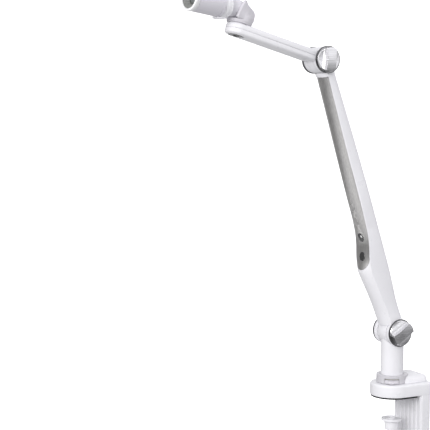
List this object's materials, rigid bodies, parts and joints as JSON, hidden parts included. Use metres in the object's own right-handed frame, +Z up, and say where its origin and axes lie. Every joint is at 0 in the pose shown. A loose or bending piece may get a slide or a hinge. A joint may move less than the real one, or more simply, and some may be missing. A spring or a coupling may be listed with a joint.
{
  "type": "document camera",
  "caption": "Desk-clamp document camera: folding two-part arm with knob-locked joints, control panel and a small swivelling, tilting camera barrel.",
  "frame": {"origin": "middle of the rubber face of the upper clamp jaw, on the axis of the turning post", "axes": "+Z up along the post; the arms reach towards -X and fold about axes along Y; the clamp's back is towards +X and the joint knobs are on the -Y side"},
  "size_m": [0.353, 0.0635, 0.6301],
  "materials": {
    "white_shell": "white moulded plastic, satin gloss",
    "pale_grey_shell": "pale lavender-grey moulded plastic, satin",
    "grey_shell": "light grey moulded plastic, satin",
    "panel_grey": "grey metallic lacquer on plastic",
    "silver_knob": "die-cast knob, brushed and lacquered silver",
    "dark_shell": "dark grey moulded plastic",
    "black_shell": "black moulded plastic, gloss",
    "rubber": "soft black rubber, matte",
    "plated_steel": "zinc-plated steel",
    "brass": "machined brass",
    "nylon": "natural nylon",
    "circuit_board": "green solder mask",
    "lens_glass": "clear optical glass"
  },
  "bodies": {
    "clamp": {"clamp_frame": "white_shell", "jaw_rubber_pad": "rubber", "post_bush": "nylon", "socket_collar": "pale_grey_shell", "rear_boss": "white_shell", "data_port": "plated_steel", "clamp_nut": "brass"},
    "swivel_latch": {"swivel_latch": "grey_shell"},
    "pressure_foot": {"pressure_pad": "white_shell"},
    "clamp_screw": {"clamp_screw": "plated_steel", "clamp_screw_knob": "white_shell"},
    "post": {"post_tube": "white_shell", "post_head": "white_shell", "post_foot_plug": "nylon", "pivot_screw": "plated_steel"},
    "lower_arm": {"lower_arm_shell": "white_shell", "control_panel": "panel_grey", "elbow_eye": "white_shell", "arm_spine": "plated_steel", "control_board": "circuit_board", "shoulder_nut": "plated_steel", "shoulder_cap": "dark_shell", "shoulder_washer_near": "plated_steel", "shoulder_washer_far": "plated_steel"},
    "zoom_in_button": {"zoom_in_button": "panel_grey"},
    "zoom_out_button": {"zoom_out_button": "panel_grey"},
    "light_button": {"light_button": "black_shell"},
    "power_button": {"power_button": "black_shell"},
    "shoulder_knob": {"shoulder_knob": "silver_knob"},
    "elbow_knob": {"elbow_knob": "silver_knob"},
    "upper_arm": {"upper_arm_top_shell": "white_shell", "upper_arm_bottom_shell": "white_shell", "elbow_fork": "white_shell", "elbow_nut": "plated_steel", "elbow_cap": "dark_shell", "swivel_cover": "black_shell"},
    "head_base": {"head_cradle": "grey_shell", "swivel_axle": "plated_steel", "tilt_pin_near": "plated_steel", "tilt_pin_far": "plated_steel"},
    "camera_head": {"head_knuckle": "pale_grey_shell", "barrel_shell": "pale_grey_shell", "lens_bezel": "white_shell", "lens_hood": "dark_shell", "lens_glass": "lens_glass", "lens_barrel": "black_shell", "sensor_board": "circuit_board"},
    "focus_ring": {"focus_ring": "grey_shell"}
  },
  "joints": [
    {"name": "post_swivel", "type": "hinge", "parent": "clamp", "child": "post", "pos_m": [0, 0, 0], "axis": [0, 0, 1], "range_deg": [-170, 170]},
    {"name": "shoulder_tilt", "type": "hinge", "parent": "post", "child": "lower_arm", "pos_m": [0, 0, 0.0834], "axis": [0, 1, 0], "range_deg": [-50, 55]},
    {"name": "elbow_fold", "type": "hinge", "parent": "lower_arm", "child": "upper_arm", "pos_m": [-0.1125, 0, 0.42558], "axis": [0, 1, 0], "range_deg": [-75, 75]},
    {"name": "head_swivel", "type": "hinge", "parent": "upper_arm", "child": "head_base", "pos_m": [-0.22672, 0, 0.46454], "axis": [0.2698, 0, 0.9629], "range_deg": [-124, 96]},
    {"name": "head_tilt", "type": "hinge", "parent": "head_base", "child": "camera_head", "pos_m": [-0.23181, -0.00242, 0.48237], "axis": [-0.2329, 0.9703, 0.0653], "range_deg": [0, 75]},
    {"name": "focus_turn", "type": "hinge", "parent": "camera_head", "child": "focus_ring", "pos_m": [-0.23181, -0.00242, 0.48237], "axis": [-0.9642, -0.2392, 0.1148], "range_deg": [-40, 40]},
    {"name": "shoulder_knob_turn", "type": "hinge", "parent": "lower_arm", "child": "shoulder_knob", "pos_m": [0, 0, 0.0834], "axis": [0, 1, 0], "range_deg": [-360, 0]},
    {"name": "elbow_knob_turn", "type": "hinge", "parent": "upper_arm", "child": "elbow_knob", "pos_m": [-0.1125, 0, 0.42558], "axis": [0, 1, 0], "range_deg": [-360, 0]},
    {"name": "pad_slide", "type": "slide", "parent": "clamp", "child": "pressure_foot", "axis": [0, 0, 1], "range_m": [-0.024, 0.024]},
    {"name": "screw_turn", "type": "hinge", "parent": "pressure_foot", "child": "clamp_screw", "pos_m": [0, 0, 0], "axis": [0, 0, 1], "range_deg": [-2881, 2881]},
    {"name": "latch_press", "type": "slide", "parent": "clamp", "child": "swivel_latch", "axis": [0.5962, 0.8028, 0], "range_m": [0, 0.0009], "stiffness_N_per_m": 300},
    {"name": "zoom_in_press", "type": "slide", "parent": "lower_arm", "child": "zoom_in_button", "axis": [0.9409, 0, 0.3388], "range_m": [0, 0.0008], "stiffness_N_per_m": 300},
    {"name": "zoom_out_press", "type": "slide", "parent": "lower_arm", "child": "zoom_out_button", "axis": [0.9364, 0, 0.351], "range_m": [0, 0.0008], "stiffness_N_per_m": 300},
    {"name": "light_press", "type": "slide", "parent": "lower_arm", "child": "light_button", "axis": [0.9368, 0, 0.35], "range_m": [0, 0.0008], "stiffness_N_per_m": 300},
    {"name": "power_press", "type": "slide", "parent": "lower_arm", "child": "power_button", "axis": [0.9974, 0, -0.0723], "range_m": [0, 0.0008], "stiffness_N_per_m": 300}
  ],
  "couplings": [
    {"joint": "screw_turn", "follows": "pad_slide", "rad_per_m": 2094.4}
  ]
}
